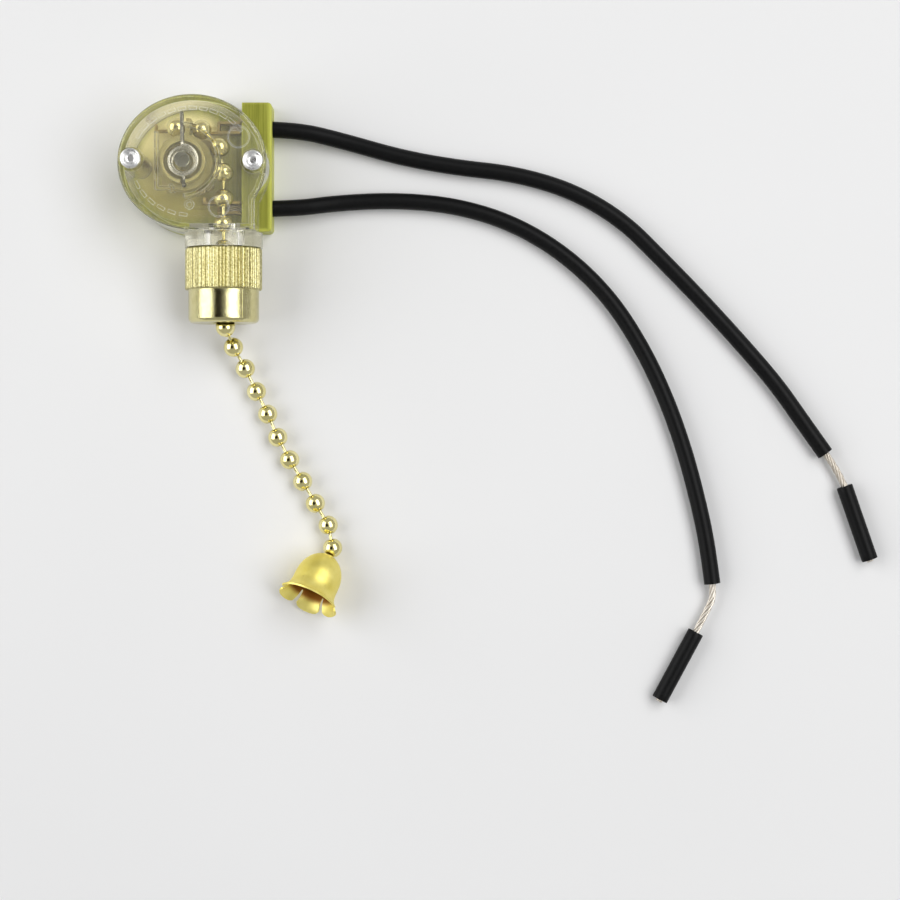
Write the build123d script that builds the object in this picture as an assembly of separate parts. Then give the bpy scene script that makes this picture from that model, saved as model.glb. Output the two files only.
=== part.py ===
"""Pull chain switch: clear housing on a green base, knurled nut, ball chain with a bell, two leads.

Millimetres. The origin is where the drum's axis meets the flat back face, +Z points out of the
front, +X towards the leads, and the threaded neck points along -Y.
"""
from build123d import *
from math import cos, degrees, pi, radians, sin, sqrt, tan
import os

# Housing and base
BODY_X, BODY_Y = 1.7, -0.45          # centre of the oval body
BODY_A, BODY_B = 12.0, 10.9          # half width and half height of the oval
PLATE_T = 2.0                        # base plate under the housing
BLOCK_LEFT, BLOCK_RIGHT = 9.0, 13.9  # wire block at the base's right side
BLOCK_LOW, BLOCK_HIGH = -10.9, 10.35
BLOCK_T = 5.2
TOP_Z = 13.6                         # front face of the housing
TOP_ROUND = 0.55
WALL, ROOF = 1.0, 1.2
GAP = 0.05                           # between the housing and the base
CEILING_Z = TOP_Z - ROOF
PIVOT_R = 1.2                        # housing's post, the drum's axle
ROTOR_POST_R = 1.3                   # base's post, the rotor's axle
RUN = 0.07                           # radial clearance of a running fit

# Neck, collar and nut, on one axis along Y
NECK_X, NECK_Z = 6.15, 6.42
NECK_LEFT, NECK_RIGHT = 0.45, 11.85  # clear block that carries the collar
COLLAR_FRONT, COLLAR_END = -11.35, -13.75
COLLAR_R = 6.38
THREAD_END = -24.9
THREAD_R = 4.76                      # 3/8 inch, 32 threads per inch
THREAD_PITCH = 0.794
THREAD_DEPTH = 0.45
THREAD_PLAY = 0.08
NECK_BORE_R = 2.3
NUT_START, NUT_STEP, NUT_END = -13.85, -20.65, -26.05
KNURL_R, KNURL_DEPTH, KNURL_COUNT = 6.32, 0.3, 64
NUT_R = 5.77
NUT_HOLE_R = 2.3
NUT_WALL = 0.9

# Rivets
RIVETS = [(-8.1, 0.0), (11.55, -0.3)]
RIVET_R, RIVET_BORE_R = 1.15, 0.8
RIVET_HEAD_R, RIVET_HEAD_T = 1.75, 0.65
RIVET_POST_R = 2.0

# Ball chain
BEAD_R, BEAD_SHELL = 1.6, 0.25
BEAD_HOLE_R = 0.64
WIRE_R = 0.27                        # chain link wire
HEAD_R, HEAD_IN, HEAD_OUT = 0.74, 0.75, 1.02
PITCH = 4.2
DRUM_PITCH_R = NECK_X                # so that the chain leaves the drum along the neck
FIRST_INNER_Y = -1.4                 # topmost bead of the straight stretch
INNER_COUNT = 6
DRUM_BEADS = 3
EXIT_BEAD = Vector(6.4, -26.65, 6.15)
# heading from -Y towards +X in degrees, rise in mm and bead spacing of each outer link
OUTER_LINKS = [
    (18.5, -2.52, PITCH),
    (27.5, -1.48, PITCH),
    (25.5, -0.53, PITCH),
    (26.5, 0.0, PITCH),
    (23.5, 0.0, PITCH),
    (28.0, 0.0, PITCH),
    (31.0, 0.0, PITCH),
    (30.0, 0.0, PITCH),
    (30.5, 0.0, PITCH),
    (11.0, 0.0, 3.85),
]

# Bell, about its own axis, measured from its crown
BELL_HEADING, BELL_TILT = -25.0, 24.3
BELL_GAP = 1.66                      # from the last outer bead to the crown
BELL_END_BEAD = 2.35                 # from the crown to the bead that holds the bell
BELL_WALL = 0.28
DOME_R, SKIRT_S = 3.85, 6.0
MOUTH_R, MOUTH_S = 5.4, 8.4
CROWN_FLAT = 0.4
SHOULDER_R, SHOULDER_S = 2.75, 1.15  # a point on the dome's arc
FLARE_R, FLARE_S = 4.3, 7.35         # a point on the petals' arc
BELL_HOLE_R = 1.0
PETALS = 6
SLOT_FIRST = 5.0                     # angle of the first slot
SLOT_ROOT, SLOT_TIP = 0.3, 1.1

# Mechanism
DRUM_LOW, DRUM_HIGH = 5.0, 8.6
DRUM_R = DRUM_PITCH_R - BEAD_R - 0.05
HUB_R, HUB_TOP, HUB_POCKET_R = 3.6, 10.95, 3.15
POCKET_FLOOR = DRUM_HIGH + 0.3
FORK_END, FORK_HALF, FORK_SLOT = 7.2, 0.36, 0.4
SPRING_WIRE = 0.32                   # radius
SPRING_R_LOW, SPRING_R_HIGH = 1.7, 2.45
SPRING_HALF_TURNS = 5
SPRING_Z_LOW, SPRING_Z_HIGH = 9.3, 11.4
LONG_LEG_X, LONG_LEG_END = -0.1, 7.7
SHORT_LEG_END = -4.0
ROTOR_LOW, ROTOR_HIGH, ROTOR_R = 2.6, 4.35, 5.5
LOBE_ROUND = 1.0
CONTACT_Y = 5.15                     # tip of each terminal's tongue
LEAF_Y = 5.65
TEETH = 8
TOOTH_R, TOOTH_WIDE, TOOTH_LONG = 4.0, 1.1, 1.3
DRUM_TOOTH, ROTOR_TOOTH = 0.2, 0.25
LEAF_LEFT, LEAF_RIGHT, LEAF_T, LEAF_FOOT = -5.4, 0.6, 0.25, 1.2
GRIP_LEFT, GRIP_RIGHT, TONGUE_LEFT = 4.9, 8.7, 2.4
SHEET_T = 0.4                        # terminals' brass sheet
TERMINAL_TOP = 4.3
BRIDGE_T, BRIDGE_HALF, BRIDGE_RING_R = 0.3, 0.9, 2.5
GUARD_R, RIB_T = 5.8, 0.5
GUARD_GAP = 0.35                     # guard wall above the drum
# straight ribs under the roof: x and y extents, and how far they start above the guard's edge
RIBS = [
    (-4.4, -3.9, -4.8, 4.5, 1.0),
    (-4.4, -1.5, -4.8, -4.3, 1.0),
    (-2.0, -1.4, -5.1, -4.0, 0.2),
]

# Raised marks on the front
RINGS = [(1.35, -7.4, 0.76, 0.42, 0.2), (9.25, 3.5, 1.8, 1.6, 0.08), (6.05, -7.7, 1.7, 1.5, 0.08)]
DASH_ARCS = [(38, 150, 12), (206, 262, 6)]   # first and last angle, and how many
DASH_INSET = 2.3
DASH_WIDE, DASH_LONG, DASH_T = 0.5, 1.25, 0.14

# Leads
LEAD_R, CORE_R = 1.35, 0.58
LEAD_IN = 10.6                       # where the insulation starts, inside the block
EXIT_Z = 2.6
UPPER_Y, LOWER_Y = 6.25, -6.9
UPPER_ROUTE = [
    (LEAD_IN, UPPER_Y, EXIT_Z),
    (17.6, UPPER_Y, EXIT_Z),
    (25.6, 4.45, 1.4),
    (35.0, 1.75, 1.4),
    (44.2, 0.1, 1.4),
    (54.0, -0.95, 1.4),
    (63.5, -3.75, 1.4),
    (71.8, -8.6, 1.4),
    (78.6, -15.4, 1.4),
    (85.2, -22.2, 1.4),
    (91.6, -29.2, 1.4),
    (97.4, -35.9, 1.4),
    (101.8, -42.2, 1.4),
    (105.5, -47.4, 1.4),
]
LOWER_ROUTE = [
    (LEAD_IN, LOWER_Y, EXIT_Z),
    (17.2, LOWER_Y, EXIT_Z),
    (25.0, -5.75, 1.4),
    (34.4, -5.35, 1.4),
    (44.0, -6.2, 1.4),
    (53.4, -9.0, 1.4),
    (62.2, -14.2, 1.4),
    (69.6, -21.3, 1.4),
    (75.0, -29.6, 1.4),
    (79.0, -38.0, 1.4),
    (82.2, -47.0, 1.4),
    (84.6, -56.2, 1.4),
    (86.0, -63.0, 1.4),
    (86.75, -69.0, 1.4),
]
UPPER_CORE = [(105.53, -47.44, 1.4), (107.3, -49.7, 1.4), (108.65, -52.75, 1.4)]
LOWER_CORE = [(86.76, -69.05, 1.4), (87.0, -71.0, 1.4), (86.0, -73.2, 1.4), (84.05, -76.95, 1.4)]
UPPER_SLUG = [(108.68, -52.82, 1.4), (112.9, -65.0, 1.4)]
LOWER_SLUG = [(84.02, -77.01, 1.4), (78.0, -88.2, 1.4)]
STUB_END_X = 6.9                     # inner end of each stripped conductor


def tube_z(radius, low, high, x=0.0, y=0.0):
    """A cylinder along Z between two heights."""
    return Pos(x, y, (low + high) / 2) * Cylinder(radius, high - low)


def tube_y(radius, start, end, x=NECK_X, z=NECK_Z):
    """A cylinder along Y between two places."""
    return Pos(x, (start + end) / 2, z) * Rot(90, 0, 0) * Cylinder(radius, abs(start - end))


def box(x0, x1, y0, y1, z0, z1):
    """A box between its lowest and highest corners."""
    return Pos((x0 + x1) / 2, (y0 + y1) / 2, (z0 + z1) / 2) * Box(x1 - x0, y1 - y0, z1 - z0)


def oval(inset, low, high):
    """The body's oval outline, moved in by inset, between two heights."""
    outline = Pos(BODY_X, BODY_Y, low) * Ellipse(BODY_A - inset, BODY_B - inset)
    return extrude(outline, high - low)


def along(start, direction):
    """A plane at a point, facing along a direction."""
    return Plane(origin=start, z_dir=direction)


def rod(radius, start, end):
    """A straight round rod between two points."""
    start, end = Vector(*start), Vector(*end)
    return extrude(along(start, end - start) * Circle(radius), (end - start).length)


def neck_profile(play):
    """Half section of the threaded neck, grown by a play, as (radius, distance from the collar)."""
    crest, root = THREAD_R + play, THREAD_R - THREAD_DEPTH + play
    points = [(root, 0.0)]
    for turn in range(int((COLLAR_END - THREAD_END) / THREAD_PITCH)):
        start = (turn + 0.25) * THREAD_PITCH
        points.append((root, start))
        points.append((crest, start + 0.4 * THREAD_PITCH))
        points.append((crest, start + 0.5 * THREAD_PITCH))
        points.append((root, start + 0.9 * THREAD_PITCH))
    return points


def threaded(play, length):
    """The neck's threaded rod, solid, from the collar towards -Y."""
    outline = [(0.0, 0.0)] + neck_profile(play)
    outline.append((outline[-1][0], length))
    outline.append((0.0, length))
    face = make_face(Polyline(*outline, close=True))
    turned = revolve(face, Axis.Y, 360)
    return Pos(NECK_X, COLLAR_END, NECK_Z) * Rot(180, 0, 0) * turned


def clear_housing():
    """Clear shell with the drum's post, guard wall, ribs, collar and threaded neck."""
    shell = oval(0, PLATE_T + GAP, TOP_Z)
    shell = fillet(shell.faces().sort_by(Axis.Z)[-1].edges(), TOP_ROUND)
    neck = box(NECK_LEFT, NECK_RIGHT, COLLAR_FRONT, BODY_Y - 4, PLATE_T + GAP, TOP_Z)
    shell += chamfer(neck.faces().sort_by(Axis.Z)[-1].edges(), TOP_ROUND / 2)
    inner_neck = box(
        NECK_LEFT + WALL, NECK_RIGHT - WALL, COLLAR_FRONT + WALL, BODY_Y, 0, CEILING_Z
    )
    shell -= oval(WALL, 0, CEILING_Z) + inner_neck
    shell += box(NECK_LEFT, BLOCK_LEFT - GAP, COLLAR_FRONT, COLLAR_FRONT + WALL - GAP, 0.1, 4)
    for x, y in RIVETS:
        shell += tube_z(RIVET_POST_R, PLATE_T + GAP, CEILING_Z, x, y)
    shell -= box(BLOCK_LEFT - GAP, 20, BLOCK_LOW - GAP, 20, 0, BLOCK_T + GAP)
    shell += tube_z(PIVOT_R, DRUM_LOW + 0.4, CEILING_Z)
    shell += guard_and_ribs()
    shell += tube_y(COLLAR_R, COLLAR_FRONT, COLLAR_END)
    shell += threaded(0.0, COLLAR_END - THREAD_END)
    shell -= tube_y(NECK_BORE_R, BODY_Y - 8, THREAD_END - 1)
    for x, y in RIVETS:
        shell -= tube_z(RIVET_R + 0.03, 0, TOP_Z + 1, x, y)
    return shell + raised_marks()


def guard_and_ribs():
    """Curved wall round the drum's hub and the straight ribs under the roof."""
    low = DRUM_HIGH + GUARD_GAP
    walls = tube_z(GUARD_R + RIB_T / 2, low, CEILING_Z)
    walls -= tube_z(GUARD_R - RIB_T / 2, low, CEILING_Z)
    walls -= box(-9, LONG_LEG_X + SPRING_WIRE + GAP, -9, 9, low, CEILING_Z)
    for left, right, bottom, top, lift in RIBS:
        walls += box(left, right, bottom, top, low + lift, CEILING_Z)
    return walls


def raised_marks():
    """Plain raised dashes round the edge of the roof, two shallow rings and a small ring."""
    marks = []
    for x, y, outer, inner, height in RINGS:
        marks.append(Pos(x, y, TOP_Z) * extrude(Circle(outer) - Circle(inner), height))
    for first, last, count in DASH_ARCS:
        for index in range(count):
            angle = radians(first + (last - first) * index / (count - 1))
            x = BODY_X + (BODY_A - DASH_INSET) * cos(angle)
            y = BODY_Y + (BODY_B - DASH_INSET) * sin(angle)
            dash = Pos(0, 0, DASH_T / 2) * Box(DASH_WIDE, DASH_LONG, DASH_T)
            marks.append(Pos(x, y, TOP_Z - 0.02) * Rot(0, 0, degrees(angle)) * dash)
    return marks


def base_block():
    """Green base: flat plate, wire block with two entries, rotor post and rivet holes."""
    base = oval(0, 0, PLATE_T)
    base += box(8, NECK_RIGHT, BLOCK_LOW, BODY_Y, 0, PLATE_T)
    base -= box(NECK_LEFT - GAP, 20, -20, COLLAR_FRONT + WALL + GAP, 0, PLATE_T)
    block = box(BLOCK_LEFT, BLOCK_RIGHT, BLOCK_LOW, BLOCK_HIGH, 0, BLOCK_T)
    outer_edges = block.edges().filter_by(Axis.Z).group_by(Axis.X)[-1]
    block = fillet(outer_edges, 0.7)
    block = fillet(block.faces().sort_by(Axis.Z)[-1].edges().group_by(Axis.X)[-1], 0.3)
    base += block
    base += tube_z(ROTOR_POST_R, PLATE_T - 0.1, ROTOR_HIGH + 0.2)
    for y in (UPPER_Y, LOWER_Y):
        base -= rod(LEAD_R + 0.08, (LEAD_IN - 0.3, y, EXIT_Z), (20, y, EXIT_Z))
        base -= rod(CORE_R + 0.12, (0, y, EXIT_Z), (20, y, EXIT_Z))
    for x, y in RIVETS:
        base -= tube_z(RIVET_R + 0.03, -1, 9, x, y)
        base -= tube_z(RIVET_HEAD_R + 0.2, -1, RIVET_HEAD_T + 0.15, x, y)
    return base


def rivet(x, y):
    """Tubular rivet: flat head in the back, rolled ring on the front."""
    body = tube_z(RIVET_R, 0.2, TOP_Z + 0.1, x, y)
    body += tube_z(RIVET_HEAD_R, 0.15, RIVET_HEAD_T + 0.1, x, y)
    roll = Pos(x, y, TOP_Z + RIVET_HEAD_T / 2 + 0.02) * Torus(RIVET_HEAD_R - 0.35, 0.33)
    body += roll + tube_z(RIVET_HEAD_R - 0.35, TOP_Z + 0.02, TOP_Z + 0.3, x, y)
    return body - tube_z(RIVET_BORE_R, 1.2, TOP_Z + 2, x, y)


def knurled_nut():
    """Brass nut: straight knurl, smooth nose with a rounded edge, inner thread, chain hole."""
    points = []
    for index in range(2 * KNURL_COUNT):
        radius = KNURL_R - (index % 2) * KNURL_DEPTH
        angle = index * pi / KNURL_COUNT
        points.append((radius * cos(angle), radius * sin(angle)))
    knurl = extrude(make_face(Polyline(*points, close=True)), NUT_START - NUT_STEP)
    knurl = Pos(NECK_X, NUT_START, NECK_Z) * Rot(90, 0, 0) * knurl
    nose = tube_y(NUT_R, NUT_START, NUT_END)
    nose = fillet(nose.edges().group_by(Axis.Y)[0], 0.8)
    cavity = threaded(THREAD_PLAY, COLLAR_END - NUT_END - NUT_WALL)
    return knurl + nose - cavity - tube_y(NUT_HOLE_R, NUT_START, NUT_END - 1)


def bead(centre, directions):
    """Hollow ball with a hole towards each neighbour."""
    centre = Vector(*centre)
    shell = Sphere(BEAD_R) - Sphere(BEAD_R - BEAD_SHELL)
    for direction in directions:
        drill = along((0, 0, 0), direction) * Circle(BEAD_HOLE_R)
        shell -= extrude(drill, BEAD_R + 1)
    return Pos(centre) * shell


def link_end(direction):
    """The head that holds a link inside a bead, about the bead's centre."""
    return extrude(along(direction * HEAD_IN, direction) * Circle(HEAD_R), HEAD_OUT - HEAD_IN)


def link(start, end):
    """Wire between two bead centres with a head inside each bead."""
    start, end = Vector(*start), Vector(*end)
    direction = (end - start).normalized()
    wire = rod(WIRE_R, start + direction * HEAD_IN, end - direction * HEAD_IN)
    return wire + Pos(start) * link_end(direction) + Pos(end) * link_end(direction * -1)


def inner_bead_places():
    """Centres of the beads that run straight from the drum to the nut's hole."""
    places = []
    for index in range(INNER_COUNT):
        places.append(Vector(NECK_X, FIRST_INNER_Y - index * PITCH, NECK_Z))
    return places + [EXIT_BEAD]


def drum_bead_places():
    """Centres of the beads wrapped on the drum, from the straight stretch to the anchor."""
    places = []
    for index in range(DRUM_BEADS):
        angle = ((index + 1) * PITCH + FIRST_INNER_Y) / DRUM_PITCH_R
        places.append(Vector(DRUM_PITCH_R * cos(angle), DRUM_PITCH_R * sin(angle), NECK_Z))
    return places


def outer_bead_places():
    """Centres of the beads outside the nut, from the exit bead to the bell."""
    places = [EXIT_BEAD]
    for heading, rise, spacing in OUTER_LINKS:
        level = sqrt(spacing**2 - rise**2)
        step = Vector(level * sin(radians(heading)), -level * cos(radians(heading)), rise)
        places.append(places[-1] + step)
    return places


def bell_direction():
    """Unit vector along the bell's axis, from its crown to its mouth."""
    flat = cos(radians(BELL_TILT))
    heading = radians(BELL_HEADING)
    return Vector(flat * sin(heading), -flat * cos(heading), sin(radians(BELL_TILT)))


def bead_string(places, before=None, after=None):
    """Beads at the given centres, each drilled towards its neighbours."""
    route = list(places)
    solids = []
    for index, place in enumerate(route):
        towards = []
        previous = route[index - 1] if index else before
        following = route[index + 1] if index + 1 < len(route) else after
        for other in (previous, following):
            if other is not None:
                towards.append((other - place).normalized())
        solids.append(bead(place, towards))
    return solids


def joined_links(places):
    """Links between each pair of neighbouring centres."""
    solids = []
    for start, end in zip(places, places[1:]):
        solids.append(link(start, end))
    return solids


def entry_link(drum_bead, first_inner):
    """Top link of the straight stretch, which stops just short of the drum's bead."""
    direction = (drum_bead - first_inner).normalized()
    reach = (drum_bead - first_inner).length - BEAD_R - 0.12
    wire = rod(WIRE_R, first_inner + direction * HEAD_IN, first_inner + direction * reach)
    return wire + Pos(first_inner) * link_end(direction)


def bell_shell():
    """Stamped bell: domed crown, short skirt, flared petals cut by tapering slots."""
    inner_r, inner_mouth = DOME_R - BELL_WALL, MOUTH_R - BELL_WALL
    shoulder = (SHOULDER_R, SHOULDER_S)
    inner_shoulder = (SHOULDER_R - 0.2, SHOULDER_S + 0.21)
    flare = (FLARE_R, FLARE_S)
    inner_flare = (FLARE_R - 0.27, FLARE_S + 0.15)
    inner_tip = (inner_mouth, MOUTH_S + 0.18)
    outline = Line((0, 0), (CROWN_FLAT, 0))
    outline += ThreePointArc((CROWN_FLAT, 0), shoulder, (DOME_R, DOME_R))
    outline += Line((DOME_R, DOME_R), (DOME_R, SKIRT_S))
    outline += ThreePointArc((DOME_R, SKIRT_S), flare, (MOUTH_R, MOUTH_S))
    outline += Line((MOUTH_R, MOUTH_S), inner_tip)
    outline += ThreePointArc(inner_tip, inner_flare, (inner_r, SKIRT_S))
    outline += Line((inner_r, SKIRT_S), (inner_r, DOME_R))
    outline += ThreePointArc((inner_r, DOME_R), inner_shoulder, (CROWN_FLAT, BELL_WALL))
    outline += Line((CROWN_FLAT, BELL_WALL), (0, BELL_WALL)) + Line((0, BELL_WALL), (0, 0))
    turned = Rot(90, 0, 0) * revolve(make_face(outline), Axis.Y, 360)
    turned -= Cylinder(BELL_HOLE_R, 4)
    for index in range(PETALS):
        turned -= Rot(0, 0, SLOT_FIRST + index * 360 / PETALS) * petal_slot()
    return turned


def petal_slot():
    """Tapering cut between two petals, from the skirt out past the mouth."""
    outline = Polyline(
        (SKIRT_S, SLOT_ROOT / 2),
        (MOUTH_S + 1, SLOT_TIP / 2),
        (MOUTH_S + 1, -SLOT_TIP / 2),
        (SKIRT_S, -SLOT_ROOT / 2),
        close=True,
    )
    wedge = extrude(make_face(outline), MOUTH_R + 2)
    return Rot(0, 90, 0) * Rot(0, 0, 180) * wedge


def chain_drum():
    """Spool that the chain wraps, with its forked anchor, spring hub and drive teeth."""
    drum = tube_z(DRUM_R, DRUM_LOW, DRUM_HIGH)
    drum += tube_z(HUB_R, DRUM_HIGH, HUB_TOP)
    angle = (1.5 * PITCH + PITCH + FIRST_INNER_Y) / DRUM_PITCH_R
    fork = box(DRUM_R - 0.6, FORK_END, -FORK_HALF, FORK_HALF, DRUM_LOW + 0.2, DRUM_HIGH)
    fork -= box(DRUM_R + 0.6, 8, -1, 1, NECK_Z - FORK_SLOT, NECK_Z + FORK_SLOT)
    drum += Rot(0, 0, degrees(angle)) * fork
    drum -= tube_z(HUB_POCKET_R, POCKET_FLOOR, HUB_TOP)
    drum -= tube_z(PIVOT_R + RUN, DRUM_LOW, HUB_TOP)
    leg_slot = SPRING_WIRE + 0.1
    drum -= box(-leg_slot, leg_slot, -HUB_R - 0.5, -2, POCKET_FLOOR, HUB_TOP)
    drum -= box(-leg_slot, leg_slot, -DRUM_R - 0.5, -2.6, DRUM_HIGH - 0.5, POCKET_FLOOR + 0.1)
    return drum + face_teeth(DRUM_LOW, -DRUM_TOOTH)


def face_teeth(level, height):
    """Ring of ramped teeth on a flat face, up or down by height."""
    teeth = None
    for index in range(TEETH):
        ramp = make_face(Polyline((0, 0), (TOOTH_WIDE, 0), (TOOTH_WIDE, height), close=True))
        tooth = Rot(90, 0, 0) * extrude(ramp, TOOTH_LONG)
        tooth = Pos(-TOOTH_WIDE / 2, TOOTH_R, level) * tooth
        tooth = Rot(0, 0, index * 360 / TEETH) * tooth
        teeth = tooth if teeth is None else teeth + tooth
    return teeth


def return_spring():
    """Tapered torsion spring on the post: a long leg to the housing and a short one to the drum."""
    points = []
    steps = 6 * SPRING_HALF_TURNS
    for index in range(steps + 1):
        share = index / steps
        angle = -pi / 2 + SPRING_HALF_TURNS * pi * share
        radius = SPRING_R_LOW + (SPRING_R_HIGH - SPRING_R_LOW) * share
        height = SPRING_Z_LOW + (SPRING_Z_HIGH - SPRING_Z_LOW) * share
        points.append((radius * cos(angle), radius * sin(angle), height))
    coil_path = Spline(*points)
    spring = sweep(along(coil_path @ 0, coil_path % 0) * Circle(SPRING_WIRE), path=coil_path)
    leg_ends = ((points[0], (0, SHORT_LEG_END)), (points[-1], (LONG_LEG_X, LONG_LEG_END)))
    for corner, (x, y) in leg_ends:
        spring += Pos(*corner) * Sphere(SPRING_WIRE * 1.03)
        spring += rod(SPRING_WIRE, corner, (x, y, corner[2]))
    return spring


def contact_rotor():
    """Four-lobed rotor with drive teeth on its face and a seat for the bridge below."""
    side = sqrt(2) * (ROTOR_R + (sqrt(2) - 1) * LOBE_ROUND)
    outline = fillet(Rectangle(side, side).vertices(), LOBE_ROUND)
    rotor = Pos(0, 0, ROTOR_LOW) * extrude(outline, ROTOR_HIGH - ROTOR_LOW)
    rotor += tube_z(2.6, ROTOR_LOW - 0.1, ROTOR_LOW + 0.2)
    rotor += face_teeth(ROTOR_HIGH, ROTOR_TOOTH)
    return rotor - tube_z(ROTOR_POST_R + RUN, 0, 9)


def contact_bridge():
    """Brass cross under the rotor that joins the two terminals at two of its positions."""
    low, high = PLATE_T + 0.1, PLATE_T + 0.1 + BRIDGE_T
    cross = box(-ROTOR_R, ROTOR_R, -BRIDGE_HALF, BRIDGE_HALF, low, high)
    for side in (-1, 1):
        left, right = sorted((side * (ROTOR_R - BRIDGE_T), side * ROTOR_R))
        cross += box(left, right, -BRIDGE_HALF, BRIDGE_HALF, low, ROTOR_HIGH - 0.4)
    ring = tube_z(BRIDGE_RING_R, low, high)
    return cross + ring - tube_z(ROTOR_POST_R + RUN, 0, 9)


def terminal(y, side):
    """Brass clip that grips a conductor, with a tongue and a contact towards the rotor."""
    grip = CORE_R + 0.02
    low = PLATE_T + GAP
    bend = GRIP_LEFT + SHEET_T
    clip = box(GRIP_LEFT, GRIP_RIGHT, y + grip, y + grip + SHEET_T, low, TERMINAL_TOP)
    clip += box(GRIP_LEFT, GRIP_RIGHT, y - grip - SHEET_T, y - grip, low, TERMINAL_TOP)
    clip += box(GRIP_LEFT, bend, y - grip - SHEET_T, y + grip + SHEET_T, low, TERMINAL_TOP)
    inner = y - side * (grip + SHEET_T / 2)
    tongue = (inner - SHEET_T / 2, inner + SHEET_T / 2)
    clip += box(TONGUE_LEFT, bend, *tongue, low + 0.25, TERMINAL_TOP - SHEET_T)
    return clip + tube_y(SHEET_T, side * CONTACT_Y, inner, TONGUE_LEFT + SHEET_T, 3.1)


def detent_leaf():
    """Brass leaf that clicks against the rotor's lobes, with its anchored foot."""
    leaf = box(LEAF_LEFT, LEAF_RIGHT, LEAF_Y, LEAF_Y + LEAF_T, PLATE_T + 0.2, TERMINAL_TOP)
    bend = LEAF_LEFT + LEAF_T
    return leaf + box(LEAF_LEFT, bend, LEAF_Y, LEAF_Y + LEAF_FOOT, PLATE_T + GAP, TERMINAL_TOP)


def lead_tube(route, radius, label):
    """Round lead along a route of straight runs joined by the largest tangent arcs they allow."""
    points = [Vector(*point) for point in route]
    runs = [(b - a).length for a, b in zip(points, points[1:])]
    radii = []
    for index in range(1, len(points) - 1):
        turn = (points[index] - points[index - 1]).get_angle(points[index + 1] - points[index])
        shorter = min(runs[index - 1], runs[index])
        radii.append(0.45 * shorter / tan(radians(turn) / 2))
    path = FilletPolyline(*points, radius=radii)
    tube = sweep(along(points[0], points[1] - points[0]) * Circle(radius), path=path)
    volume_ratio = tube.volume / (pi * radius**2 * path.length)
    print(label, "length", round(path.length, 2), "volume ratio", round(volume_ratio, 5))
    print("  radii in diameters", [round(value / radius / 2, 1) for value in radii])
    return tube


def group(solids):
    """Separate solids kept in one node."""
    return Compound(children=list(solids))


def write(name, shape):
    """One STEP file for each named node."""
    export_step(shape, "parts/" + name + ".step")


def write_chain():
    """All nodes of the ball chain and the bell."""
    inner, wrapped, outer = inner_bead_places(), drum_bead_places(), outer_bead_places()
    write("inner_beads", group(bead_string(inner, wrapped[0], outer[1])))
    links = [entry_link(wrapped[0], inner[0])] + joined_links(inner)
    write("inner_links", group(links))
    write("drum_beads", group(bead_string(wrapped, inner[0])))
    write("drum_links", group(joined_links(wrapped)))
    axis = bell_direction()
    crown = outer[-1] + axis * BELL_GAP
    last = crown + axis * BELL_END_BEAD
    route = outer + [last]
    for index in range(1, len(outer)):
        here = route[index]
        towards = [(route[index - 1] - here).normalized(), (route[index + 1] - here).normalized()]
        write(f"chain_bead_{index + 1:02d}", bead(here, towards))
        write(f"chain_link_{index + 1:02d}", link(route[index - 1], here))
    level = Vector(-axis.Y, axis.X, 0)
    write("pull_bell", Plane(origin=crown, x_dir=level, z_dir=axis) * bell_shell())
    write("bell_end_bead", bead(last, [(outer[-1] - last).normalized()]))
    write("bell_end_link", link(outer[-1], last))


def write_leads():
    """Insulation, stripped conductor and left-on slug of each lead."""
    leads = (
        ("upper", UPPER_Y, UPPER_ROUTE, UPPER_CORE, UPPER_SLUG),
        ("lower", LOWER_Y, LOWER_ROUTE, LOWER_CORE, LOWER_SLUG),
    )
    for name, y, route, core, slug in leads:
        write(name + "_lead_insulation", lead_tube(route, LEAD_R, name + " lead"))
        stub = rod(CORE_R, (STUB_END_X, y, EXIT_Z), (LEAD_IN, y, EXIT_Z))
        bare = lead_tube(core, CORE_R, name + " conductor")
        write(name + "_lead_conductor", group([stub, bare]))
        write(name + "_lead_slug", rod(LEAD_R, slug[0], slug[1]))


def main():
    """Build and write every node."""
    os.makedirs("parts", exist_ok=True)
    write("clear_housing", clear_housing())
    write("base_block", base_block())
    write("rivets", group([rivet(x, y) for x, y in RIVETS]))
    write("knurled_nut", knurled_nut())
    write("chain_drum", chain_drum())
    write("return_spring", return_spring())
    write("contact_rotor", contact_rotor())
    write("contact_bridge", contact_bridge())
    write("terminal_upper", terminal(UPPER_Y, 1))
    write("terminal_lower", terminal(LOWER_Y, -1))
    write("detent_leaf", detent_leaf())
    write_chain()
    write_leads()


main()
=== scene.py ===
import bmesh
import bpy
import math
import random
from mathutils import Matrix, Quaternion, Vector


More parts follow.
